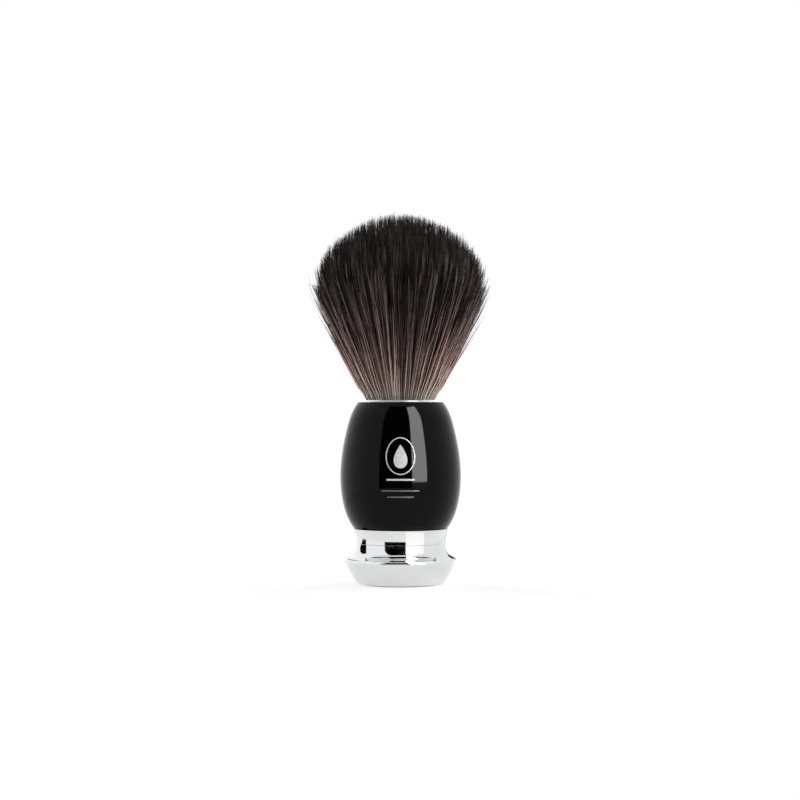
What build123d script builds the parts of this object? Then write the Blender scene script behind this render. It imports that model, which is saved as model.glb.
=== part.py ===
from build123d import *
import os
from math import cos, radians, sin

# A shaving brush: a turned resin barrel on a weighted metal foot, with a knot of fibres that
# screws into the barrel. Sizes are in millimetres. The brush stands on z = 0, and every piece
# is turned about the Z axis.

# --- Driving heights -------------------------------------------------------------------------
PAD_BOTTOM = 0.0  # the soft disc touches the table
FOOT_BOTTOM = 0.3  # the metal stays just clear of it
FOOT_TOP = 16.4  # the barrel sits here
RIM_TOP = 53.7  # flat top of the barrel
LIP_TOP = 54.25  # lip of the cup, just proud of the rim
TUFT_WIDEST = 88.0
TUFT_TOP = 109.5

# --- Fits and edges shared by several pieces -------------------------------------------------
SLIP_FIT = 0.1  # radial gap between pieces that drop into each other
EDGE_ROUND = 0.5
THREAD_DEPTH_SHARE = 0.45  # of the pitch
KNURL_R = 0.35  # of each flute round an insert
KNURL_END = 1.0  # plain band above and below the flutes

# --- Foot ------------------------------------------------------------------------------------
COLLAR_R = 13.95  # top edge of the foot, under the barrel
COLLAR_WAIST = (13.35, 14.6)  # radius and height where the collar's side is most hollow
COLLAR_LEDGE = 0.1  # step from collar to neck, both ways
NECK_R = 13.1
NECK_TOP = 12.1
NECK_BOTTOM = 11.2
COVE_END = (14.45, 8.6)  # the neck sweeps out to here
DISH_SHELF = (16.0, 7.7)
DISH_R = 16.38  # rim of the dish, a narrow upright band
DISH_RIM_TOP = 7.2
DISH_RIM_BOTTOM = 6.85
DISH_BELLY = (15.5, 4.7)
DISH_BASE_R = 12.8
RECESS_R = 11.5  # holds the soft disc
RECESS_DEPTH = 1.9
HOLLOW_R = 10.8  # holds the weight
CEILING_T = 3.0  # metal left over the hollow
SPIGOT_R = 7.5  # centres the foot in the barrel
SPIGOT_H = 1.4
SEAL_R = 11.0  # middle of the ring that seals foot to barrel
SEAL_CORD_R = 0.5
SEAL_GROOVE_HALF = 0.65  # half width of the groove the ring lies in
PAD_ROUND = 0.3

# --- Clamp screw and its stack ---------------------------------------------------------------
SCREW_R = 2.5  # M5
SCREW_PITCH = 0.8
SCREW_LENGTH = 20.0
SCREW_TURNS = 11  # only the stretch that is in the insert is threaded
SCREW_TIP_BREAK = 0.4
SCREW_HOLE_R = 2.75
HEAD_R = 4.75
HEAD_H = 2.75
HEAD_BAND = 0.5  # straight edge of the head, above its dome
HEAD_DOME = (3.85, 2.0)  # radius and depth of a point half way round the dome
HEX_KEY = 3.0  # across flats
HEX_DEPTH = 1.6
WASHER_R = 5.0
WASHER_HOLE_R = 2.65
WASHER_T = 1.0
LOCK_R = 4.4
LOCK_HOLE_R = 2.6
LOCK_T = 1.2
LOCK_GAP = 1.1
LOCK_GAP_SLANT = 20.0
BALLAST_R = 10.7
BALLAST_BOTTOM = 3.0
COUNTERBORE_R = 5.5
COUNTERBORE_TOP = 9.0
INSERT_R = 5.0  # threaded insert in the bottom of the barrel
INSERT_TOP = 28.0
INSERT_FLUTES = 24

# --- Barrel ----------------------------------------------------------------------------------
BARREL_FOOT_R = 13.7
BARREL_RIM_R = 12.5
BARREL_SIDE = [  # radius and height of the turned side, between foot and rim
    (15.5, 19.4),
    (17.15, 24.8),
    (17.77, 31.3),
    (17.3, 38.4),
    (15.75, 46.2),
    (14.2, 50.9),
]
SOCKET_R = 10.9
SOCKET_FLOOR = 41.5

# --- Screw joint of the knot -----------------------------------------------------------------
STUD_R = 3.9  # M8, drawn at its mean size
STUD_PITCH = 1.25
STUD_BOTTOM = 33.5
STUD_TURNS = 6
STUD_FLANGE_R = 6.0
STUD_FLANGE_T = 1.0
STUD_BREAK = 0.4
BUSH_BORE_R = 4.0
BUSH_R = 6.5
BUSH_BOTTOM = 31.0
BUSH_FLOOR_T = 1.0
BUSH_FLANGE_R = 8.0
BUSH_FLANGE_T = 1.0
BUSH_FLUTES = 30

# --- Knot ------------------------------------------------------------------------------------
CUP_R = 10.7
CUP_BOTTOM = 42.0
CUP_FLOOR = 45.0
CUP_BORE_R = 9.8
MOUTH_R = 10.4  # the bore opens out at the lip
MOUTH_DEPTH = 0.85
LIP_ROUND = 0.15
KNOT_SEAL_R = 10.25
KNOT_SEAL_CORD_R = 0.55
KNOT_SEAL_Z = 43.5
KNOT_GROOVE_R = 9.6
KNOT_GROOVE_H = 1.4
BUTT_R = 9.1  # tied lower end of the fibre bundle
BUTT_BOTTOM = 47.0
RESIN_TOP = 50.5
CORD_R = 0.25  # thread wound round the bundle
CORD_TURNS = 5
CORD_BOTTOM = 47.6

# --- Free fibres -----------------------------------------------------------------------------
FAN_ANGLE = 27.0  # half angle of the fan
BEND_Z = 62.0  # the whole tuft bends about this height
BEND_R = 12.25  # round underside that lets it
TIP_BEND_Z = 75.0  # the upper tuft bends about this height
TIP_BEND_R = BEND_R + (TIP_BEND_Z - BEND_Z) * sin(radians(FAN_ANGLE))
SEAT_GAP = 0.3
LOWER_TUFT_TOP = 61.5
TUFT_R = 26.1
SHOULDER_R = 7.5  # round between the straight fan and the widest place
CROWN_R = 29.1  # round of the domed top
CROWN_EDGE = 43.0  # angle above level where the dome's side takes over

os.makedirs("parts", exist_ok=True)


def fan_radius(height):
    """Radius of the straight, fanned side of the tuft at a height."""
    lean = radians(FAN_ANGLE)
    return (BEND_R + (height - BEND_Z) * sin(lean)) / cos(lean)


def groove_heights(bottom, pitch, turns):
    """Centre heights of the ring grooves that stand for a thread."""
    return [bottom + (turn + 0.5) * pitch for turn in range(turns)]


def thread_grooves(radius, bottom, pitch, turns):
    """Half-section of V grooves in a shank of this radius."""
    depth = THREAD_DEPTH_SHARE * pitch
    with BuildSketch(Plane.XZ) as grooves:
        with Locations(*[(radius, height) for height in groove_heights(bottom, pitch, turns)]):
            Polygon((0, pitch / 2), (-depth, 0), (0, -pitch / 2), (depth, 0), align=None)
    return grooves.sketch


def knurl(radius, bottom, top, flutes):
    """Straight flutes round an insert, short of both ends, for cutting away."""
    with BuildSketch(Plane.XY.offset(bottom + KNURL_END)) as teeth:
        with PolarLocations(radius, flutes):
            Circle(KNURL_R)
    return extrude(teeth.sketch, amount=top - bottom - 2 * KNURL_END, mode=Mode.PRIVATE)


# --- Foot shell: tapered collar, waisted neck and dish, hollow underneath ---------------------
ceiling_bottom = FOOT_TOP - CEILING_T
spigot_top = FOOT_TOP + SPIGOT_H

with BuildPart() as foot_shell:
    with BuildSketch(Plane.XZ):
        with BuildLine():
            inside = Polyline(
                (DISH_BASE_R, FOOT_BOTTOM),
                (RECESS_R, FOOT_BOTTOM),
                (RECESS_R, FOOT_BOTTOM + RECESS_DEPTH),
                (HOLLOW_R, FOOT_BOTTOM + RECESS_DEPTH),
                (HOLLOW_R, ceiling_bottom),
                (SCREW_HOLE_R, ceiling_bottom),
                (SCREW_HOLE_R, spigot_top),
                (SPIGOT_R, spigot_top),
                (SPIGOT_R, FOOT_TOP),
                (COLLAR_R, FOOT_TOP),
            )
            collar = ThreePointArc(
                inside @ 1,
                COLLAR_WAIST,
                (NECK_R + COLLAR_LEDGE, NECK_TOP + COLLAR_LEDGE),
            )
            neck = Polyline(collar @ 1, (NECK_R, NECK_TOP), (NECK_R, NECK_BOTTOM))
            cove = TangentArc(neck @ 1, COVE_END, tangent=(0, -1))
            dish_top = Line(cove @ 1, DISH_SHELF)
            rim = TangentArc(dish_top @ 1, (DISH_R, DISH_RIM_TOP), tangent=dish_top % 1)
            band = Line(rim @ 1, (DISH_R, DISH_RIM_BOTTOM))
            ThreePointArc(band @ 1, DISH_BELLY, inside @ 0)
        make_face()
    revolve(axis=Axis.Z)
    with BuildSketch(Plane.XY.offset(FOOT_TOP)):
        Circle(SEAL_R + SEAL_GROOVE_HALF)
        Circle(SEAL_R - SEAL_GROOVE_HALF, mode=Mode.SUBTRACT)
    extrude(amount=-2 * SEAL_CORD_R, mode=Mode.SUBTRACT)
    fillet(foot_shell.faces().sort_by(Axis.Z)[0].outer_wire().edges(), EDGE_ROUND)
foot_shell.part.label = "foot_shell"

# --- Soft disc pressed into the recess under the foot -----------------------------------------
with BuildPart() as base_pad:
    with BuildSketch(Plane.XY.offset(PAD_BOTTOM)):
        Circle(RECESS_R - SLIP_FIT)
    extrude(amount=FOOT_BOTTOM + RECESS_DEPTH)
    fillet(base_pad.faces().sort_by(Axis.Z)[0].edges(), PAD_ROUND)
base_pad.part.label = "base_pad"

# --- Steel weight in the hollow of the foot ---------------------------------------------------
with BuildPart() as ballast:
    with BuildSketch(Plane.XY.offset(BALLAST_BOTTOM)):
        Circle(BALLAST_R)
    extrude(amount=ceiling_bottom - BALLAST_BOTTOM)
    chamfer(ballast.edges().filter_by(GeomType.CIRCLE), EDGE_ROUND)
    with BuildSketch(Plane.XY.offset(BALLAST_BOTTOM)):
        Circle(COUNTERBORE_R)
    extrude(amount=COUNTERBORE_TOP - BALLAST_BOTTOM, mode=Mode.SUBTRACT)
    with BuildSketch(Plane.XY.offset(COUNTERBORE_TOP)):
        Circle(SCREW_HOLE_R)
    extrude(amount=ceiling_bottom - COUNTERBORE_TOP, mode=Mode.SUBTRACT)
ballast.part.label = "ballast"

# --- Flat washer ------------------------------------------------------------------------------
washer_bottom = COUNTERBORE_TOP - WASHER_T

with BuildPart() as screw_washer:
    with BuildSketch(Plane.XY.offset(washer_bottom)):
        Circle(WASHER_R)
        Circle(WASHER_HOLE_R, mode=Mode.SUBTRACT)
    extrude(amount=WASHER_T)
screw_washer.part.label = "screw_washer"

# --- Split lock washer ------------------------------------------------------------------------
lock_bottom = washer_bottom - LOCK_T

with BuildPart() as lock_washer:
    with BuildSketch(Plane.XY.offset(lock_bottom)):
        Circle(LOCK_R)
        Circle(LOCK_HOLE_R, mode=Mode.SUBTRACT)
        with Locations((LOCK_R, 0)):
            Rectangle(LOCK_R, LOCK_GAP, rotation=LOCK_GAP_SLANT, mode=Mode.SUBTRACT)
    extrude(amount=LOCK_T)
lock_washer.part.label = "lock_washer"

# --- Button-head clamp screw, pointing up into the barrel -------------------------------------
screw_tip = lock_bottom + SCREW_LENGTH
head_bottom = lock_bottom - HEAD_H
thread_bottom = screw_tip - SCREW_TIP_BREAK - SCREW_TURNS * SCREW_PITCH

with BuildPart() as clamp_screw:
    with BuildSketch(Plane.XZ):
        with BuildLine():
            shank = Polyline(
                (0, head_bottom),
                (0, screw_tip),
                (SCREW_R - SCREW_TIP_BREAK, screw_tip),
                (SCREW_R, screw_tip - SCREW_TIP_BREAK),
                (SCREW_R, lock_bottom),
                (HEAD_R, lock_bottom),
                (HEAD_R, lock_bottom - HEAD_BAND),
            )
            dome = ThreePointArc(
                shank @ 1,
                (HEAD_DOME[0], lock_bottom - HEAD_DOME[1]),
                (HEAD_R / 2, head_bottom),
            )
            Line(dome @ 1, shank @ 0)
        make_face()
    revolve(axis=Axis.Z)
    revolve(
        thread_grooves(SCREW_R, thread_bottom, SCREW_PITCH, SCREW_TURNS),
        axis=Axis.Z,
        mode=Mode.SUBTRACT,
    )
    with BuildSketch(Plane.XY.offset(head_bottom)):
        RegularPolygon(HEX_KEY / 2, 6, major_radius=False)
    extrude(amount=HEX_DEPTH, mode=Mode.SUBTRACT)
clamp_screw.part.label = "clamp_screw"

# --- Rubber ring between foot and barrel ------------------------------------------------------
with BuildPart() as foot_seal:
    with Locations((0, 0, FOOT_TOP - SEAL_CORD_R)):
        Torus(SEAL_R, SEAL_CORD_R)
foot_seal.part.label = "foot_seal"

# --- Threaded insert in the bottom of the barrel ----------------------------------------------
insert_bottom = spigot_top + SLIP_FIT

with BuildPart() as foot_insert:
    with BuildSketch(Plane.XY.offset(insert_bottom)):
        Circle(INSERT_R)
        Circle(SCREW_R, mode=Mode.SUBTRACT)
    extrude(amount=INSERT_TOP - insert_bottom)
    add(knurl(INSERT_R, insert_bottom, INSERT_TOP, INSERT_FLUTES), mode=Mode.SUBTRACT)
foot_insert.part.label = "foot_insert"

# --- Barrel: the resin handle, with a socket at each end --------------------------------------
with BuildPart() as barrel:
    with BuildSketch(Plane.XZ):
        with BuildLine():
            side = Spline((BARREL_FOOT_R, FOOT_TOP), *BARREL_SIDE, (BARREL_RIM_R, RIM_TOP))
            Polyline(side @ 1, (0, RIM_TOP), (0, FOOT_TOP), side @ 0)
        make_face()
    revolve(axis=Axis.Z)
    fillet(barrel.faces().sort_by(Axis.Z)[-1].edges(), EDGE_ROUND)
    for floor, top, radius in (
        (SOCKET_FLOOR, RIM_TOP, SOCKET_R),
        (SOCKET_FLOOR - BUSH_FLANGE_T, SOCKET_FLOOR, BUSH_FLANGE_R),
        (BUSH_BOTTOM, SOCKET_FLOOR, BUSH_R),
        (FOOT_TOP, insert_bottom, SPIGOT_R + SLIP_FIT),
        (insert_bottom, INSERT_TOP, INSERT_R),
    ):
        with BuildSketch(Plane.XY.offset(floor)):
            Circle(radius)
        extrude(amount=top - floor, mode=Mode.SUBTRACT)
barrel.part.label = "barrel"

# --- Threaded bush bonded into the floor of the upper socket ----------------------------------
with BuildPart() as knot_bush:
    with BuildSketch(Plane.XY.offset(BUSH_BOTTOM)):
        Circle(BUSH_R)
    extrude(amount=SOCKET_FLOOR - BUSH_BOTTOM)
    with BuildSketch(Plane.XY.offset(SOCKET_FLOOR - BUSH_FLANGE_T)):
        Circle(BUSH_FLANGE_R)
    extrude(amount=BUSH_FLANGE_T)
    with BuildSketch(Plane.XY.offset(BUSH_BOTTOM + BUSH_FLOOR_T)):
        Circle(BUSH_BORE_R)
    extrude(amount=SOCKET_FLOOR - BUSH_BOTTOM, mode=Mode.SUBTRACT)
    add(knurl(BUSH_R, BUSH_BOTTOM, SOCKET_FLOOR - BUSH_FLANGE_T, BUSH_FLUTES), mode=Mode.SUBTRACT)
knot_bush.part.label = "knot_bush"

# --- Threaded stud that carries the knot ------------------------------------------------------
with BuildPart() as knot_stud:
    with BuildSketch(Plane.XY.offset(STUD_BOTTOM)):
        Circle(STUD_R)
    extrude(amount=CUP_FLOOR + STUD_FLANGE_T - STUD_BOTTOM)
    with BuildSketch(Plane.XY.offset(CUP_FLOOR)):
        Circle(STUD_FLANGE_R)
    extrude(amount=STUD_FLANGE_T)
    chamfer(knot_stud.faces().sort_by(Axis.Z)[0].edges(), STUD_BREAK)
    revolve(
        thread_grooves(STUD_R, STUD_BOTTOM + STUD_BREAK, STUD_PITCH, STUD_TURNS),
        axis=Axis.Z,
        mode=Mode.SUBTRACT,
    )
knot_stud.part.label = "knot_stud"

# --- Cup that holds the fibre bundle, with a groove for its seal ------------------------------
with BuildPart() as knot_cup:
    with BuildSketch(Plane.XZ):
        with BuildLine():
            Polyline(
                (STUD_R, CUP_BOTTOM),
                (CUP_R, CUP_BOTTOM),
                (CUP_R, LIP_TOP),
                (MOUTH_R, LIP_TOP),
                (CUP_BORE_R, LIP_TOP - MOUTH_DEPTH),
                (CUP_BORE_R, CUP_FLOOR),
                (STUD_R, CUP_FLOOR),
                close=True,
            )
        make_face()
    revolve(axis=Axis.Z)
    with BuildSketch(Plane.XY.offset(KNOT_SEAL_Z - KNOT_GROOVE_H / 2)):
        Circle(CUP_R)
        Circle(KNOT_GROOVE_R, mode=Mode.SUBTRACT)
    extrude(amount=KNOT_GROOVE_H, mode=Mode.SUBTRACT)
    fillet(knot_cup.faces().sort_by(Axis.Z)[-1].outer_wire().edges(), LIP_ROUND)
knot_cup.part.label = "knot_cup"

# --- Rubber ring that seals the cup in its socket ---------------------------------------------
with BuildPart() as knot_seal:
    with Locations((0, 0, KNOT_SEAL_Z)):
        Torus(KNOT_SEAL_R, KNOT_SEAL_CORD_R)
knot_seal.part.label = "knot_seal"

# --- Fibre bundle inside the cup, tied near its lower end -------------------------------------
cord_top = CORD_BOTTOM + CORD_TURNS * 2 * CORD_R
cord_inner_r = BUTT_R - 2 * CORD_R

with BuildPart() as fibre_root:
    with BuildSketch(Plane.XY.offset(BUTT_BOTTOM)):
        Circle(BUTT_R)
    extrude(amount=RESIN_TOP - BUTT_BOTTOM)
    with BuildSketch(Plane.XY.offset(RESIN_TOP)):
        Circle(CUP_BORE_R)
    extrude(amount=LIP_TOP - RESIN_TOP)
    with BuildSketch(Plane.XY.offset(CORD_BOTTOM)):
        Circle(BUTT_R)
        Circle(cord_inner_r, mode=Mode.SUBTRACT)
    extrude(amount=cord_top - CORD_BOTTOM, mode=Mode.SUBTRACT)
    with Locations((0, 0, BEND_Z)):
        Sphere(BEND_R + SEAT_GAP, mode=Mode.SUBTRACT)
fibre_root.part.label = "fibre_root"

# --- Thread wound round the bundle ------------------------------------------------------------
with BuildPart() as binding_thread:
    with BuildSketch(Plane.XZ):
        turn_heights = groove_heights(CORD_BOTTOM, 2 * CORD_R, CORD_TURNS)
        with Locations(*[(BUTT_R - CORD_R, height) for height in turn_heights]):
            Circle(CORD_R)
        with Locations((cord_inner_r, (CORD_BOTTOM + cord_top) / 2)):
            Rectangle(CORD_R, cord_top - CORD_BOTTOM, align=(Align.MIN, Align.CENTER))
    revolve(axis=Axis.Z)
binding_thread.part.label = "binding_thread"

# --- Cured resin that holds the bundle and the stud's flange in the cup -----------------------
with BuildPart() as potting_resin:
    with BuildSketch(Plane.XY.offset(CUP_FLOOR)):
        Circle(CUP_BORE_R)
    extrude(amount=RESIN_TOP - CUP_FLOOR)
    with BuildSketch(Plane.XY.offset(CUP_FLOOR)):
        Circle(STUD_FLANGE_R)
    extrude(amount=STUD_FLANGE_T, mode=Mode.SUBTRACT)
    with BuildSketch(Plane.XY.offset(BUTT_BOTTOM)):
        Circle(BUTT_R)
    extrude(amount=RESIN_TOP - BUTT_BOTTOM, mode=Mode.SUBTRACT)
potting_resin.part.label = "potting_resin"

# --- Lower part of the free fibres: a round underside and a round seat on top -----------------
with BuildPart() as tuft_lower:
    with BuildSketch(Plane.XZ):
        with BuildLine():
            underside = CenterArc((0, BEND_Z), BEND_R, -90, 90 - FAN_ANGLE)
            Polyline(
                underside @ 1,
                (fan_radius(LOWER_TUFT_TOP), LOWER_TUFT_TOP),
                (0, LOWER_TUFT_TOP),
                underside @ 0,
            )
        make_face()
    revolve(axis=Axis.Z)
    with Locations((0, 0, TIP_BEND_Z)):
        Sphere(TIP_BEND_R + SEAT_GAP, mode=Mode.SUBTRACT)
tuft_lower.part.label = "tuft_lower"

# --- Upper part of the free fibres: fanned side and domed top ---------------------------------
fan_top = TUFT_WIDEST - SHOULDER_R * sin(radians(FAN_ANGLE))

with BuildPart() as tuft_upper:
    with BuildSketch(Plane.XZ):
        with BuildLine():
            underside = CenterArc((0, TIP_BEND_Z), TIP_BEND_R, -90, 90 - FAN_ANGLE)
            fan = Line(underside @ 1, (fan_radius(fan_top), fan_top))
            shoulder = TangentArc(fan @ 1, (TUFT_R, TUFT_WIDEST), tangent=fan % 1)
            crown = CenterArc((0, TUFT_TOP - CROWN_R), CROWN_R, CROWN_EDGE, 90 - CROWN_EDGE)
            TangentArc(shoulder @ 1, crown @ 0, tangent=(0, 1))
            Line(crown @ 1, underside @ 0)
        make_face()
    revolve(axis=Axis.Z)
tuft_upper.part.label = "tuft_upper"

# --- Write one file for each piece ------------------------------------------------------------
pieces = [
    foot_shell,
    base_pad,
    ballast,
    screw_washer,
    lock_washer,
    clamp_screw,
    foot_seal,
    foot_insert,
    barrel,
    knot_bush,
    knot_stud,
    knot_cup,
    knot_seal,
    fibre_root,
    binding_thread,
    potting_resin,
    tuft_lower,
    tuft_upper,
]
for piece in pieces:
    export_step(piece.part, f"parts/{piece.part.label}.step")
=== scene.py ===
import math

import bpy
import numpy as np
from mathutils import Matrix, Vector


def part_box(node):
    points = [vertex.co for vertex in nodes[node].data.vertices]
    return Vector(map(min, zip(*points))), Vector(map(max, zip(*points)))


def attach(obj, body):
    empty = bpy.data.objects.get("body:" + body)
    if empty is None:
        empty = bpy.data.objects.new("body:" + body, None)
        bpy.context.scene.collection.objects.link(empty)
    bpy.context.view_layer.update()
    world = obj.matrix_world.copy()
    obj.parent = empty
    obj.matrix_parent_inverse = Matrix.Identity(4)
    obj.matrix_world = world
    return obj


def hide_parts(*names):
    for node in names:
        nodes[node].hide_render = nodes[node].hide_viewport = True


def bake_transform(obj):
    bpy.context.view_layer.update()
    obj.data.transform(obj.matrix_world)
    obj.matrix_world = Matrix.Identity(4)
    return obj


# A shaving brush. The CAD frame gives the handle, the foot and the knot's cup. This script gives
# them their materials, grows the fibres of the tuft, prints a plain mark on the handle, and sets
# up a white table with studio cards. Lengths are in metres unless a name ends in _MM.

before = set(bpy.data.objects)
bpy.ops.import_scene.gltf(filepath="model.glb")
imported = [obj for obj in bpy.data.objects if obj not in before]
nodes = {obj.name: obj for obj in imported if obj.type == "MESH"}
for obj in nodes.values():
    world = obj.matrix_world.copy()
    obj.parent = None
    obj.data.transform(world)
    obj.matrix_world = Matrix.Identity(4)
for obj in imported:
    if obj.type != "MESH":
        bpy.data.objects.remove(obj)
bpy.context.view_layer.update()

MM = 0.001
SEED = 7

# --- Tuft ------------------------------------------------------------------------------------
# Most fibres stand in locks: they leave the cup side by side, fan out, and each lock closes to a
# point at its tips. Single fibres stand round them. Radii are of the tuft's outside.
PARTS_OF_TUFT = 4  # each set of fibres is this many meshes
LIP_MM = 54.3  # height at which the fibres leave the cup
LIP_FIBRE_R_MM = 9.7
WIDEST_MM = 88.0
WIDEST_R_MM = 26.3
CROWN_H_MM = 21.3  # from the widest level to the top of the dome
CROWN_POWER = 1.78  # 2 would be an ellipse; less has slimmer shoulders
CROWN_EASE_MM = 10.0  # above the widest level, the fibres turn upright over this height
CROWN_PASSES = 3  # the crown's height and a fibre's reach depend on each other
DOME_MARGIN = 1.11  # the longest fibres lean in over a dome this much larger than the crown
DOME_CLIMB_LIMIT = 0.99  # keeps that dome's radius above zero over its top
LEAN_SHARPNESS = 10  # how suddenly they lean in
CUT_MM = 68.0  # the fibres are two sets of meshes, which meet at this height
ROOT_SEAT_Z_MM = 62.0  # the bundle in the cup is dished on top, round this height
ROOT_SEAT_R_MM = 12.55
ROOT_SINK_MM = 0.5  # fibres start this far inside the bundle

LOCKS = 4000
FIBRES_PER_LOCK = 3
LOCK_SCATTER = 0.45  # how far locks stand off an even pattern, as a share of its spacing
FIBRE_SCATTER = 0.5  # how far fibres stand off the middle of their lock, as the same share
LOCK_WANDER_MM = 0.6  # how far the tips of locks stray sideways
FIBRE_WANDER_MM = 0.2  # and those of fibres from their lock's
LOCK_LENGTH_MM = 0.38  # how unequal the locks' lengths are
SHORTFALL_MM = 0.6  # by how much fibres are shorter than their lock, on average
LOCK_LIGHTEST = 0.7  # shade of the lightest lock, from 0 for dark to 1 for light
LOCK_DARKNESS = 4.5  # a higher power makes more of the locks dark
SHADE_JITTER = 0.05
SHADE_TOP = 0.999  # keeps the lightest shade inside the last column of the UV map
LOCK_THICKNESS = (0.85, 1.15)
CLOSING_FROM = 0.7  # share of its length at which a lock starts to close
CLOSING_SHARE = 0.75  # of its spread, gone at the tips
CLOSING_POWER = 1.5

# Single fibres. A pair is the lowest and the highest value. share is how far out they stand, of
# the tuft's radius; length is how far their tips pass the crown, and wander how far they stray
# sideways, both in millimetres; shade is as for locks; thickness is a factor.
SINGLE_FIBRES = [
    {  # thin pale lines on the outside: pale hairs, partly a painted highlight along single fibres
        "count": 210,
        "share": (0.95, 1.0),
        "length": (-12, 4),
        "shade": (0.7, 1.0),
        "wander": 1.5,
        "thickness": (0.7, 1.1),
    },
    {  # dark ones, which stand a little off the rest
        "count": 380,
        "share": (0.97, 1.06),
        "length": (-16, 1),
        "shade": (0.0, 0.4),
        "wander": 0.8,
        "thickness": (0.9, 1.2),
    },
    {  # pale ones, which splay out; their paleness is partly painted rim light at the tuft's edges
        "count": 150,
        "share": (1.03, 1.11),
        "length": (-18, -3),
        "shade": (0.6, 1.0),
        "wander": 0.8,
        "thickness": (1.1, 1.6),
    },
]
SPLAY_CLIMB = 0.2  # share of their length over which those past the radius part from the rest
EDGE_SHARE = 0.98  # fibres keep inside this share of the radius, or their lock's if more
TINY = 1e-6

FIBRE_R_MM = 0.085  # near the cup, up to THICK_TO_MM
THICK_TO_MM = 60.3
FIBRE_MID_R_MM = 0.075
FIBRE_TIP_R_MM = 0.02
TAPER_MM = 9.0  # length over which a fibre thins to its tip
TAPER_POWER = 0.7
SIDES = 3
LOWER_RINGS = 7
UPPER_RINGS = 9

# The fibres' UV map has a column for each shade, and its height is the height above the table.
UV_LAYER = "OFBake"
SHADES = 256
V_LOW_MM = 49.0
V_HIGH_MM = 111.0

# --- Camera ----------------------------------------------------------------------------------
CAMERA_DISTANCE = 0.62
CAMERA_HEIGHT = 0.0543
CAMERA_SHIFT_X = -0.0006
LENS_MM = 94.5
SENSOR_MM = 36
CLIP_START = 0.01

# --- Nodes -----------------------------------------------------------------------------------
LATHE_RINGS = 1500.0  # scale of the fine rings on turned metal
MIX_FACTOR, MIX_A, MIX_B, MIX_RESULT = 0, 6, 7, 2  # sockets of a Mix node for colours


# --- Helpers for nodes -----------------------------------------------------------------------
def new_material(name):
    """A material with only its Principled shader and output."""
    material = bpy.data.materials.new(name)
    material.use_nodes = True
    tree = material.node_tree
    tree.nodes.clear()
    output = tree.nodes.new("ShaderNodeOutputMaterial")
    shader = tree.nodes.new("ShaderNodeBsdfPrincipled")
    tree.links.new(shader.outputs["BSDF"], output.inputs["Surface"])
    return material, tree, shader


def node(tree, kind, settings=None, **inputs):
    """A new node, with properties from settings and values or links from inputs."""
    made = tree.nodes.new(kind)
    for name, value in (settings or {}).items():
        setattr(made, name, value)
    for name, value in inputs.items():
        socket = made.inputs[name.replace("_", " ")]
        if isinstance(value, bpy.types.NodeSocket):
            tree.links.new(value, socket)
        else:
            socket.default_value = value
    return made


def ramp(tree, factor, stops):
    """A colour ramp with (position, colour) stops."""
    made = tree.nodes.new("ShaderNodeValToRGB")
    elements = made.color_ramp.elements
    while len(elements) < len(stops):
        elements.new(0.5)
    for element, (position, colour) in zip(elements, stops):
        element.position = position
        element.color = (*colour, 1)
    tree.links.new(factor, made.inputs["Fac"])
    return made.outputs["Color"]


def object_point(tree):
    return tree.nodes.new("ShaderNodeTexCoord").outputs["Object"]


def noise(tree, vector, scale, detail, roughness=0.5):
    """Noise between 0 and 1, at features of about 1 / scale metres."""
    made = node(
        tree, "ShaderNodeTexNoise", Vector=vector, Scale=scale, Detail=detail, Roughness=roughness
    )
    return made.outputs["Fac"]


def spread(tree, factor, low, high):
    """A 0 to 1 signal spread from low to high."""
    made = node(tree, "ShaderNodeMapRange", Value=factor, To_Min=low, To_Max=high)
    return made.outputs["Result"]


def bump(tree, shader, height, distance, strength):
    made = node(tree, "ShaderNodeBump", Height=height, Distance=distance, Strength=strength)
    tree.links.new(made.outputs["Normal"], shader.inputs["Normal"])


def stretched(tree, vector, scale):
    """A texture vector scaled by different amounts along each axis."""
    made = node(tree, "ShaderNodeMapping", Vector=vector, Scale=scale)
    return made.outputs["Vector"]


def dress(name, material):
    """Gives a CAD node its finished material."""
    nodes[name].material_slots[0].material = material


# --- Materials -------------------------------------------------------------------------------
def polished_chrome():
    material, tree, shader = new_material("foot_chrome")
    point = object_point(tree)
    shader.inputs["Base Color"].default_value = (0.74, 0.745, 0.75, 1)
    shader.inputs["Metallic"].default_value = 1
    haze = noise(tree, point, scale=900, detail=4)
    tree.links.new(spread(tree, haze, low=0.06, high=0.1), shader.inputs["Roughness"])
    ripple = noise(tree, point, scale=160, detail=2)
    bump(tree, shader, ripple, distance=0.00001, strength=0.03)
    return material


def black_resin():
    material, tree, shader = new_material("black_resin")
    point = object_point(tree)
    shader.inputs["IOR"].default_value = 1.45
    shader.inputs["Specular IOR Level"].default_value = 0.125
    depth = noise(tree, point, scale=60, detail=3)
    colour = ramp(tree, depth, [(0.3, (0.001, 0.001, 0.0012)), (0.7, (0.0016, 0.0016, 0.0019))])
    tree.links.new(colour, shader.inputs["Base Color"])
    haze = noise(tree, point, scale=700, detail=4)
    tree.links.new(spread(tree, haze, low=0.03, high=0.075), shader.inputs["Roughness"])
    ripple = noise(tree, point, scale=90, detail=2)
    bump(tree, shader, ripple, distance=0.00001, strength=0.1)
    return material


def pale_plastic():
    material, tree, shader = new_material("pale_plastic")
    point = object_point(tree)
    tint = noise(tree, point, scale=500, detail=4)
    colour = ramp(tree, tint, [(0.25, (0.90, 0.87, 0.81)), (0.75, (0.95, 0.93, 0.88))])
    tree.links.new(colour, shader.inputs["Base Color"])
    tree.links.new(spread(tree, tint, low=0.3, high=0.42), shader.inputs["Roughness"])
    grain = noise(tree, point, scale=2500, detail=3)
    bump(tree, shader, grain, distance=0.00002, strength=0.3)
    return material


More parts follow.
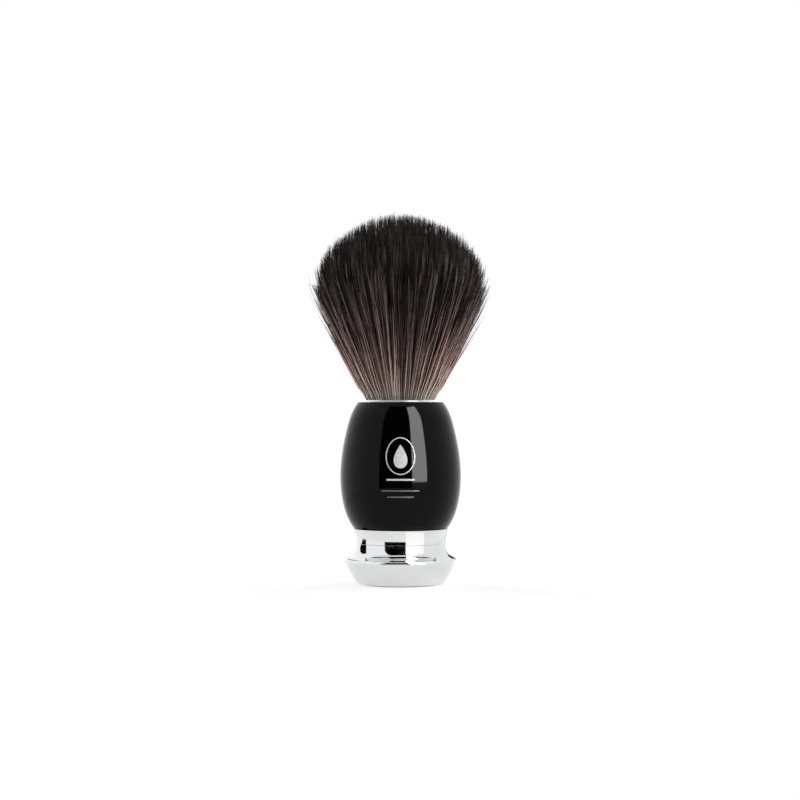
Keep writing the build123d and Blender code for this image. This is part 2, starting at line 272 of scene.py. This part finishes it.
def rubber():
    material, tree, shader = new_material("black_rubber")
    point = object_point(tree)
    grain = noise(tree, point, scale=1800, detail=5, roughness=0.65)
    colour = ramp(tree, grain, [(0.3, (0.012, 0.012, 0.012)), (0.7, (0.03, 0.03, 0.031))])
    tree.links.new(colour, shader.inputs["Base Color"])
    tree.links.new(spread(tree, grain, low=0.55, high=0.8), shader.inputs["Roughness"])
    bump(tree, shader, grain, distance=0.00006, strength=0.6)
    return material


def turned_metal(name, dark, light):
    """Metal with the fine rings that a lathe leaves."""
    material, tree, shader = new_material(name)
    point = object_point(tree)
    rings = node(
        tree,
        "ShaderNodeTexWave",
        {"wave_type": "RINGS", "rings_direction": "Z"},
        Vector=point,
        Scale=LATHE_RINGS,
        Distortion=0.6,
        Detail=2.0,
    ).outputs["Fac"]
    stain = noise(tree, point, scale=220, detail=4)
    tree.links.new(ramp(tree, stain, [(0.3, dark), (0.75, light)]), shader.inputs["Base Color"])
    shader.inputs["Metallic"].default_value = 1
    tree.links.new(spread(tree, rings, low=0.2, high=0.34), shader.inputs["Roughness"])
    bump(tree, shader, rings, distance=0.00001, strength=0.3)
    return material


def wound_thread():
    material, tree, shader = new_material("binding_thread")
    point = object_point(tree)
    twist = node(
        tree,
        "ShaderNodeTexWave",
        {"bands_direction": "DIAGONAL"},
        Vector=point,
        Scale=900.0,
        Distortion=1.5,
        Detail=2.0,
    ).outputs["Fac"]
    colour = ramp(tree, twist, [(0.2, (0.5, 0.47, 0.4)), (0.8, (0.74, 0.71, 0.63))])
    tree.links.new(colour, shader.inputs["Base Color"])
    shader.inputs["Roughness"].default_value = 0.8
    shader.inputs["Sheen Weight"].default_value = 0.3
    bump(tree, shader, twist, distance=0.00005, strength=0.6)
    return material


def cast_resin():
    material, tree, shader = new_material("clear_resin")
    point = object_point(tree)
    cloud = noise(tree, point, scale=400, detail=4)
    colour = ramp(tree, cloud, [(0.3, (0.62, 0.46, 0.2)), (0.75, (0.82, 0.68, 0.4))])
    tree.links.new(colour, shader.inputs["Base Color"])
    shader.inputs["Roughness"].default_value = 0.12
    shader.inputs["Transmission Weight"].default_value = 0.6
    bump(tree, shader, cloud, distance=0.00005, strength=0.3)
    return material


def packed_fibre():
    """The tied bundle inside the cup: fine upright streaks."""
    material, tree, shader = new_material("packed_fibre")
    point = object_point(tree)
    streaks = noise(tree, stretched(tree, point, (1, 1, 0.04)), scale=5000, detail=2)
    colour = ramp(tree, streaks, [(0.3, (0.05, 0.035, 0.03)), (0.7, (0.36, 0.27, 0.22))])
    tree.links.new(colour, shader.inputs["Base Color"])
    shader.inputs["Roughness"].default_value = 0.5
    bump(tree, shader, streaks, distance=0.0001, strength=0.8)
    return material


def free_fibre():
    """The free fibres: pale brown at the root and near black above, each in its own shade."""
    material, tree, shader = new_material("fibre")
    uv = node(tree, "ShaderNodeUVMap", {"uv_map": UV_LAYER}).outputs["UV"]
    split = node(tree, "ShaderNodeSeparateXYZ", Vector=uv)
    shade, height = split.outputs["X"], split.outputs["Y"]
    dark = ramp(
        tree,
        height,
        [
            (0.085, (0.22, 0.18, 0.155)),
            (0.14, (0.085, 0.060, 0.050)),
            (0.24, (0.017, 0.0095, 0.0083)),
            (0.36, (0.009, 0.0054, 0.0051)),
            (0.52, (0.0068, 0.0046, 0.0044)),
            (1.0, (0.0042, 0.0031, 0.0029)),
        ],
    )
    light = ramp(
        tree,
        height,
        [
            (0.085, (0.97, 0.89, 0.80)),
            (0.14, (0.97, 0.74, 0.65)),
            (0.24, (0.84, 0.57, 0.50)),
            (0.36, (0.50, 0.345, 0.315)),
            (0.52, (0.34, 0.255, 0.247)),
            (0.66, (0.36, 0.285, 0.275)),
            (0.8, (0.20, 0.162, 0.156)),
            (1.0, (0.11, 0.090, 0.087)),
        ],
    )
    mottle = noise(tree, stretched(tree, uv, (SHADES, 30, 1)), scale=1, detail=2)
    wobble = spread(tree, mottle, low=-0.08, high=0.08)
    share = node(tree, "ShaderNodeMath", {"operation": "ADD", "use_clamp": True})
    tree.links.new(shade, share.inputs[0])
    tree.links.new(wobble, share.inputs[1])
    colour = node(tree, "ShaderNodeMix", {"data_type": "RGBA"})
    tree.links.new(share.outputs[0], colour.inputs[MIX_FACTOR])
    tree.links.new(dark, colour.inputs[MIX_A])
    tree.links.new(light, colour.inputs[MIX_B])
    tree.links.new(colour.outputs[MIX_RESULT], shader.inputs["Base Color"])
    tree.links.new(spread(tree, mottle, low=0.36, high=0.52), shader.inputs["Roughness"])
    shader.inputs["Specular IOR Level"].default_value = 0.05
    return material


def ink(name, low, high):
    """Printed ink, a little uneven."""
    material, tree, shader = new_material(name)
    patch = noise(tree, object_point(tree), scale=1600, detail=4)
    tree.links.new(ramp(tree, patch, [(0.3, low), (0.7, high)]), shader.inputs["Base Color"])
    shader.inputs["Roughness"].default_value = 0.4
    return material


chrome = polished_chrome()
resin = black_resin()
plastic = pale_plastic()
seal_rubber = rubber()
steel = turned_metal("plain_steel", (0.42, 0.42, 0.43), (0.6, 0.6, 0.61))
brass = turned_metal("turned_brass", (0.62, 0.42, 0.17), (0.83, 0.62, 0.3))
fibre = free_fibre()

dress("foot_shell", chrome)
dress("barrel", resin)
dress("knot_cup", plastic)
for name in ("base_pad", "foot_seal", "knot_seal"):
    dress(name, seal_rubber)
for name in ("ballast", "screw_washer", "lock_washer", "clamp_screw"):
    dress(name, steel)
for name in ("foot_insert", "knot_bush", "knot_stud"):
    dress(name, brass)
dress("binding_thread", wound_thread())
dress("potting_resin", cast_resin())
dress("fibre_root", packed_fibre())


# --- Fibres ----------------------------------------------------------------------------------
def tuft_radius(height):
    """Radius of the tuft's outside at each height, in millimetres."""
    lean = (WIDEST_R_MM - LIP_FIBRE_R_MM) / (WIDEST_MM - LIP_MM)
    above = np.maximum(height - WIDEST_MM, 0)
    fan = LIP_FIBRE_R_MM + lean * np.clip(height - LIP_MM, 0, WIDEST_MM - LIP_MM)
    return fan + lean * above / (1 + above / CROWN_EASE_MM)


def dome_radius(height):
    """Radius that the longest fibres keep inside, above the widest level, in millimetres."""
    climb = np.clip((height - WIDEST_MM) / (DOME_MARGIN * CROWN_H_MM), 0, DOME_CLIMB_LIMIT)
    return DOME_MARGIN * WIDEST_R_MM * (1 - climb**CROWN_POWER) ** (1 / CROWN_POWER)


def crown_height(share):
    """Height of the tuft's domed top over fibres at this share of its radius."""
    height = WIDEST_MM + CROWN_H_MM * np.sqrt(np.clip(1 - share**2, 0, 1))
    for _ in range(CROWN_PASSES):
        reach = np.minimum(share * tuft_radius(height) / WIDEST_R_MM, 1)
        height = WIDEST_MM + CROWN_H_MM * (1 - reach**CROWN_POWER) ** (1 / CROWN_POWER)
    return height


def single_fibres(random, count, share, length, shade, wander, thickness):
    """Single fibres all round the tuft, with an even draw from each pair of values."""
    angle = random.uniform(0, 2 * math.pi, count)
    round_axis = np.stack([np.cos(angle), np.sin(angle)], 1)
    return {
        "place": round_axis * random.uniform(*share, (count, 1)),
        "offset": np.zeros((count, 2)),
        "wander": random.normal(0, wander, (count, 2)),
        "length": random.uniform(*length, count),
        "shade": random.uniform(*shade, count),
        "thickness": random.uniform(*thickness, count),
    }


def locked_fibres(random):
    """The fibres in locks. The locks stand in an even spiral pattern, but for a scatter."""
    golden = math.pi * (3 - math.sqrt(5))
    index = np.arange(LOCKS) + 0.5
    lock_share = np.sqrt(index / LOCKS)
    lock_angle = index * golden
    pitch = 1 / math.sqrt(LOCKS)
    lock = np.stack([lock_share * np.cos(lock_angle), lock_share * np.sin(lock_angle)], 1)
    lock += random.normal(0, LOCK_SCATTER * pitch, lock.shape)
    lock_wander = random.normal(0, LOCK_WANDER_MM, lock.shape)
    lock_length = random.normal(0, LOCK_LENGTH_MM, LOCKS)
    lock_shade = LOCK_LIGHTEST * random.random(LOCKS) ** LOCK_DARKNESS

    owner = np.repeat(np.arange(LOCKS), FIBRES_PER_LOCK)
    count = len(owner)
    shade = lock_shade[owner] + random.normal(0, SHADE_JITTER, count)
    return {
        "place": lock[owner],
        "offset": random.normal(0, FIBRE_SCATTER * pitch, (count, 2)),
        "wander": lock_wander[owner] + random.normal(0, FIBRE_WANDER_MM, (count, 2)),
        "length": lock_length[owner] - random.exponential(SHORTFALL_MM, count),
        "shade": shade,
        "thickness": random.uniform(*LOCK_THICKNESS, count),
    }


def grow_fibres():
    """Each fibre's place, offset, wander, length, shade, thickness and turn, one row to a fibre."""
    random = np.random.default_rng(SEED)
    kinds = [locked_fibres(random)]
    kinds += [single_fibres(random, **values) for values in SINGLE_FIBRES]
    fibres = {key: np.concatenate([kind[key] for kind in kinds]) for key in kinds[0]}
    fibres["shade"] = np.clip(fibres["shade"], 0, SHADE_TOP)
    fibres["turn"] = random.uniform(0, 2 * math.pi, len(fibres["shade"]))
    return fibres


def fibre_share(fibres):
    """How far out each fibre stands, as a share of the tuft's radius. Some single ones pass 1."""
    return np.linalg.norm(fibres["place"], axis=1)


def tip_height(fibres):
    """Height of each fibre's tip, in millimetres."""
    return crown_height(np.minimum(fibre_share(fibres), 1)) + fibres["length"]


def fibre_points(fibres, height):
    """Centre points at these heights, rows of fibres by columns of heights, in millimetres."""
    share = fibre_share(fibres)
    top = tip_height(fibres)
    climb = np.clip((height - LIP_MM) / (top[:, None] - LIP_MM), 0, 1)

    # Each lock closes towards its tips.
    closing = np.clip((climb - CLOSING_FROM) / (1 - CLOSING_FROM), 0, 1) ** CLOSING_POWER
    spread_left = 1 - CLOSING_SHARE * closing
    spot = fibres["place"][:, None] + fibres["offset"][:, None] * spread_left[..., None]

    # Only the splayed fibres pass the tuft's radius.
    reach = np.linalg.norm(spot, axis=2)
    splay = np.maximum(share - 1, 0)[:, None] * np.clip(climb / SPLAY_CLIMB, 0, 1)
    limit = np.clip(share, EDGE_SHARE, 1)[:, None] + splay
    spot *= (np.minimum(reach, limit) / np.maximum(reach, TINY))[..., None]

    # The longest ones lean in over the dome.
    spread_r = tuft_radius(height)
    tightness = share[:, None] * spread_r / dome_radius(height)
    lean_in = (1 + tightness**LEAN_SHARPNESS) ** (-1 / LEAN_SHARPNESS)
    flat = spot * (spread_r * lean_in)[..., None]
    return flat + fibres["wander"][:, None] * (climb**2)[..., None]


def tube_points(fibres, height):
    """Points of a ring round each fibre at each height, in millimetres."""
    centre = fibre_points(fibres, height)
    to_tip = np.clip((tip_height(fibres)[:, None] - height) / TAPER_MM, 0, 1)
    body = np.where(height < THICK_TO_MM, FIBRE_R_MM, FIBRE_MID_R_MM)
    radius = FIBRE_TIP_R_MM + (body - FIBRE_TIP_R_MM) * to_tip**TAPER_POWER
    radius = radius * fibres["thickness"][:, None]
    around = fibres["turn"][:, None] + np.arange(SIDES) * 2 * math.pi / SIDES
    ring = np.stack([np.cos(around), np.sin(around)], 2)
    points = np.zeros((*height.shape, SIDES, 3))
    points[..., :2] = centre[:, :, None] + radius[:, :, None, None] * ring[:, None]
    points[..., 2] = height[:, :, None]
    return points


def tube_faces(count, rings):
    """Corners of the walls and ends of closed tubes, and each face's number of corners.

    The two end faces have points of their own, after those of all the rings, so that the walls
    are smooth up to their ends."""
    first = (np.arange(count) * rings * SIDES)[:, None, None]
    step = (np.arange(rings - 1) * SIDES)[None, :, None]
    side = np.arange(SIDES)[None, None, :]
    beside = (side + 1) % SIDES
    low = first + step
    walls = np.stack([low + side, low + beside, low + SIDES + beside, low + SIDES + side], 3)
    ends = count * rings * SIDES + (np.arange(count) * 2 * SIDES)[:, None]
    bottoms = ends + np.arange(SIDES)[::-1]
    tops = ends + SIDES + np.arange(SIDES)
    corners = np.concatenate([walls.reshape(-1), bottoms.reshape(-1), tops.reshape(-1)])
    wall_count = count * (rings - 1) * SIDES
    sizes = np.concatenate([np.full(wall_count, 4), np.full(2 * count, SIDES)])
    return corners, sizes


def tube_uv(shade, height):
    """A UV point for each corner: across by shade, and up by height above the table."""
    count, rings = height.shape
    column = np.floor(shade * SHADES)
    level = (height - V_LOW_MM) / (V_HIGH_MM - V_LOW_MM)
    u_side = (column[:, None] + np.arange(SIDES + 1) / SIDES) / SHADES
    left = np.broadcast_to(u_side[:, None, :-1], (count, rings - 1, SIDES))
    right = np.broadcast_to(u_side[:, None, 1:], (count, rings - 1, SIDES))
    foot = np.broadcast_to(level[:, :-1, None], left.shape)
    head = np.broadcast_to(level[:, 1:, None], left.shape)
    u_wall = np.stack([left, right, right, left], 3).reshape(-1)
    v_wall = np.stack([foot, foot, head, head], 3).reshape(-1)
    u_cap = np.tile(np.repeat((column + 0.5) / SHADES, SIDES), 2)
    v_cap = np.concatenate([np.repeat(level[:, 0], SIDES), np.repeat(level[:, -1], SIDES)])
    return np.stack([np.concatenate([u_wall, u_cap]), np.concatenate([v_wall, v_cap])], 1)


def fibre_mesh(name, fibres, height, material):
    """One mesh of thin closed tubes, a ring at each height."""
    points = tube_points(fibres, height)
    corner_points = np.concatenate([points.reshape(-1), points[:, [0, -1]].reshape(-1)])
    corners, sizes = tube_faces(*height.shape)
    starts = np.concatenate([[0], np.cumsum(sizes)[:-1]])
    uv = tube_uv(fibres["shade"], height)

    mesh = bpy.data.meshes.new(name)
    mesh.vertices.add(len(corner_points) // 3)
    mesh.vertices.foreach_set("co", (corner_points * MM).astype(np.float32))
    mesh.loops.add(len(corners))
    mesh.loops.foreach_set("vertex_index", corners.astype(np.int32))
    mesh.polygons.add(len(sizes))
    mesh.polygons.foreach_set("loop_start", starts.astype(np.int32))
    mesh.uv_layers.new(name=UV_LAYER).data.foreach_set("uv", uv.astype(np.float32).reshape(-1))
    mesh.update(calc_edges=True)
    mesh.shade_smooth()
    mesh.materials.append(material)
    made = bpy.data.objects.new(name, mesh)
    bpy.context.scene.collection.objects.link(made)
    return made


def steps(start, end, rings):
    """Heights from start to end for each fibre, in equal steps."""
    return start[:, None] + (end - start)[:, None] * np.linspace(0, 1, rings)


all_fibres = grow_fibres()
for number in range(PARTS_OF_TUFT):
    fibres = {key: value[number::PARTS_OF_TUFT] for key, value in all_fibres.items()}
    root_r = np.minimum(fibre_share(fibres), 1) * LIP_FIBRE_R_MM
    root = ROOT_SEAT_Z_MM - np.sqrt(ROOT_SEAT_R_MM**2 - root_r**2) - ROOT_SINK_MM
    cut = np.full(len(root), CUT_MM)
    tip = tip_height(fibres)
    lower = fibre_mesh(f"fibres_lower_{number + 1}", fibres, steps(root, cut, LOWER_RINGS), fibre)
    upper = fibre_mesh(f"fibres_upper_{number + 1}", fibres, steps(cut, tip, UPPER_RINGS), fibre)
    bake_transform(lower)
    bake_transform(upper)
    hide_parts("tuft_lower")
    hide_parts("tuft_upper")


# --- Printed mark ----------------------------------------------------------------------------
INK_OUT = 0.00003  # the ink stands this far out of the barrel
INK_IN = -0.00005  # and its back is this far inside it
BARREL_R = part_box("barrel")[1].x
MARK_MIDDLE = 0.0382
RING_HALF_W = 0.0044
RING_HALF_H = 0.0054
RING_LINE = 0.0003
RING_POINTS = 96
DROP_BOTTOM = 0.0347
DROP_H = 0.0068
DROP_HALF_W = 0.0020
DROP_FULLNESS = 1.3
DROP_ROWS = 28
DROP_COLUMNS = 9
DROP_POINT_CUT = 0.06  # the drop stops just short of its point, in radians of its outline
DROP_ROUND_CUT = 0.03  # and of its round end
BAR_POINTS = 25


def on_barrel(across, height, out):
    """The point this far across and up the front of the barrel, and this far out of it."""
    angle = across / BARREL_R
    away = Vector((math.sin(angle), -math.cos(angle), 0))
    start = away * 2 * BARREL_R + Vector((0, 0, height))
    _, place, normal, _ = nodes["barrel"].ray_cast(start, -away)
    return place + normal * out


def printed(name, rows, material, wrap=False):
    """A thin closed skin of ink over rows of (across, height) points, all rows the same length."""
    length = len(rows[0])
    flat = [point for row in rows for point in row]
    vertices = [on_barrel(*point, INK_OUT) for point in flat]
    vertices += [on_barrel(*point, INK_IN) for point in flat]
    last = len(rows) if wrap else len(rows) - 1
    fronts = []
    for i in range(last):
        here, there = i * length, (i + 1) % len(rows) * length
        fronts += [(here + j, here + j + 1, there + j + 1, there + j) for j in range(length - 1)]
    edges = {(face[k], face[(k + 1) % 4]) for face in fronts for k in range(4)}
    borders = [edge for edge in edges if (edge[1], edge[0]) not in edges]
    behind = len(flat)
    backs = [tuple(corner + behind for corner in reversed(face)) for face in fronts]
    walls = [(end, start, start + behind, end + behind) for start, end in sorted(borders)]
    mesh = bpy.data.meshes.new(name)
    mesh.from_pydata(vertices, [], fronts + backs + walls)
    mesh.materials.append(material)
    made = bpy.data.objects.new(name, mesh)
    bpy.context.scene.collection.objects.link(made)
    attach(made, "handle")


def bar(name, width, height, middle, material):
    """A level line of ink, at this middle height."""
    across = np.linspace(-width / 2, width / 2, BAR_POINTS)
    rows = [[(x, middle + end * height / 2) for x in across] for end in (-1, 1)]
    printed(name, rows, material)


bright_ink = ink("bright_ink", (0.62, 0.62, 0.63), (0.8, 0.8, 0.8))
faint_ink = ink("faint_ink", (0.1, 0.1, 0.105), (0.16, 0.16, 0.165))


def oval_point(angle, inset):
    """A point of the mark's ring, this far inside its outer edge."""
    across = (RING_HALF_W - inset) * math.cos(angle)
    return across, MARK_MIDDLE + (RING_HALF_H - inset) * math.sin(angle)


def drop_row(turn):
    """Points across the drop at a turn from 0 at its point to pi at its round end."""
    half = DROP_HALF_W * math.sin(turn) * math.sin(turn / 2) * DROP_FULLNESS
    level = DROP_BOTTOM + DROP_H * (1 + math.cos(turn)) / 2
    return [(half * x, level) for x in np.linspace(1, -1, DROP_COLUMNS)]


ring_angles = np.linspace(0, 2 * math.pi, RING_POINTS, endpoint=False)
ring_rows = [[oval_point(angle, inset) for inset in (RING_LINE, 0)] for angle in ring_angles]
printed("mark_ring", ring_rows, bright_ink, wrap=True)

drop_turns = np.linspace(DROP_POINT_CUT, math.pi - DROP_ROUND_CUT, DROP_ROWS)
printed("mark_drop", [drop_row(turn) for turn in drop_turns], bright_ink)

bar("mark_line_top", width=0.0081, height=0.0005, middle=0.0314, material=bright_ink)
bar("mark_line_middle", width=0.0112, height=0.00035, middle=0.0282, material=faint_ink)
bar("mark_line_bottom", width=0.0079, height=0.00035, middle=0.0264, material=faint_ink)


# --- Camera and view -------------------------------------------------------------------------
def aim_camera():
    camera_data = bpy.data.cameras.new("camera")
    camera_data.lens = LENS_MM
    camera_data.sensor_width = SENSOR_MM
    camera_data.clip_start = CLIP_START
    camera_data.shift_x = CAMERA_SHIFT_X
    camera = bpy.data.objects.new("camera", camera_data)
    camera.location = (0, -CAMERA_DISTANCE, CAMERA_HEIGHT)
    camera.rotation_euler = (math.pi / 2, 0, 0)
    bpy.context.scene.collection.objects.link(camera)
    bpy.context.scene.camera = camera


aim_camera()
bpy.context.scene.view_settings.view_transform = "Standard"
bpy.context.scene.cycles.denoising_prefilter = "NONE"  # keeps the fibres' fine lines

# --- Table and studio cards ------------------------------------------------------------------
TABLE_R = 0.10
TABLE_SIDES = 128
TABLE_GLOW = 0.73
CARD_BOTTOM = -0.15
CARD_STEP = 3  # degrees between a card's columns
FLAG_R = 0.97  # nearer than the boards, which stand at 1
NECK_CARD_R = 0.0165  # two small cards stand round the foot's neck, where only it mirrors them
WHITE = (1, 1, 1)
UNLIT = 0.0  # strength of a card that is only there to be dark
SKY_LIT = 0.95  # the background's brightness as light, and as the camera sees it
SKY_SEEN = 1.0


def light_material(name, colour, strength):
    """A plain glow."""
    material = bpy.data.materials.new(name)
    material.use_nodes = True
    tree = material.node_tree
    tree.nodes.clear()
    output = tree.nodes.new("ShaderNodeOutputMaterial")
    glow = node(tree, "ShaderNodeEmission", Color=(*colour, 1), Strength=strength)
    tree.links.new(glow.outputs["Emission"], output.inputs["Surface"])
    return material


def card(
    name,
    bearings,
    heights,
    colour,
    strength,
    soft=True,
    mirrored=True,
    distance=1.0,
    top_start=None,
):
    """An upright card curved round the brush, unseen by the camera. Bearings are in degrees: 0 is
    at the camera, and they grow to its right. soft lights matt surfaces, mirrored shows in gloss.
    top_start is where its top edge starts, if that isn't above where its bottom edge does."""
    start, end = bearings
    columns = max(2, int((end - start) / CARD_STEP))
    low = np.radians(np.linspace(start, end, columns))
    high = np.radians(np.linspace(start if top_start is None else top_start, end, columns))
    vertices = [
        (math.sin(bearing) * distance, -math.cos(bearing) * distance, height)
        for row, height in zip((low, high), heights)
        for bearing in row
    ]
    faces = [(i, i + 1, columns + i + 1, columns + i) for i in range(columns - 1)]
    mesh = bpy.data.meshes.new(name)
    mesh.from_pydata(vertices, [], faces)
    mesh.materials.append(light_material(name, colour, strength))
    made = bpy.data.objects.new(name, mesh)
    bpy.context.scene.collection.objects.link(made)
    made.visible_camera = False
    made.visible_diffuse = soft
    made.visible_glossy = mirrored
    made.visible_shadow = False


def white_table():
    """A round table that glows, so that it is as white as the background."""
    material, tree, shader = new_material("table")
    paper = noise(tree, object_point(tree), scale=120, detail=4)
    colour = ramp(tree, paper, [(0.3, (0.14, 0.14, 0.14)), (0.7, (0.16, 0.16, 0.16))])
    tree.links.new(colour, shader.inputs["Base Color"])
    shader.inputs["Roughness"].default_value = 0.9
    shader.inputs["Specular IOR Level"].default_value = 0.1
    shader.inputs["Emission Color"].default_value = (*WHITE, 1)
    shader.inputs["Emission Strength"].default_value = TABLE_GLOW
    bpy.ops.mesh.primitive_circle_add(
        vertices=TABLE_SIDES, radius=TABLE_R, fill_type="NGON", location=(0, 0, 0)
    )
    table = bpy.context.object
    table.name = "table"
    table.data.materials.append(material)


def white_world():
    world = bpy.data.worlds.new("studio")
    bpy.context.scene.world = world
    world.use_nodes = True
    tree = world.node_tree
    tree.nodes.clear()
    seen = tree.nodes.new("ShaderNodeLightPath").outputs["Is Camera Ray"]
    brightness = spread(tree, seen, low=SKY_LIT, high=SKY_SEEN)
    sky = node(tree, "ShaderNodeBackground", Color=(*WHITE, 1), Strength=brightness)
    output = tree.nodes.new("ShaderNodeOutputWorld")
    tree.links.new(sky.outputs["Background"], output.inputs["Surface"])


# A tall softbox on the right, split into what gloss mirrors and what it lights.
card("softbox_shine", (22, 51), (-0.05, 1.7), (1, 0.99, 0.96), 21, soft=False)
card("softbox_foot", (22, 51), (CARD_BOTTOM, -0.05), WHITE, 1.22, soft=False)
card("softbox_light", (22, 60), (0.0, 2.4), WHITE, 1.5, mirrored=False)

# Lights at the sides and behind, which brighten the edges of the tuft.
card("left_light", (-150, -95), (0.0, 1.6), WHITE, 6.0, mirrored=False)
card("right_light", (95, 150), (0.0, 1.6), WHITE, 5.0, mirrored=False)

# Pale boards all round, for the gloss to mirror, and a dark gap in front.
card("left_board", (-128, -41), (CARD_BOTTOM, 1.4), (0.98, 0.99, 1.01), 1.1, soft=False)
card("right_board", (51, 165), (CARD_BOTTOM, 1.4), (0.98, 1.0, 0.99), 1.0, soft=False)
card("back_wall", (165, 232), (CARD_BOTTOM, 1.4), WHITE, 1.1)
card("front_flag", (-41, 22), (CARD_BOTTOM, 2.0), WHITE, UNLIT)

# Two small cards that only the foot's neck mirrors.
card(
    "neck_flag",
    (-94, -62),
    (0.0086, 0.0128),
    WHITE,
    UNLIT,
    soft=False,
    distance=NECK_CARD_R,
    top_start=-73,
)
card("neck_shine", (8, 38), (0.0075, 0.0132), (1, 0.995, 0.97), 1.27, soft=False, distance=NECK_CARD_R)

# A narrow dark strip behind, which the gloss mirrors along its right edge.
card("right_flag", (166, 174), (CARD_BOTTOM, 0.9), WHITE, UNLIT, soft=False, distance=FLAG_R)

white_table()
white_world()
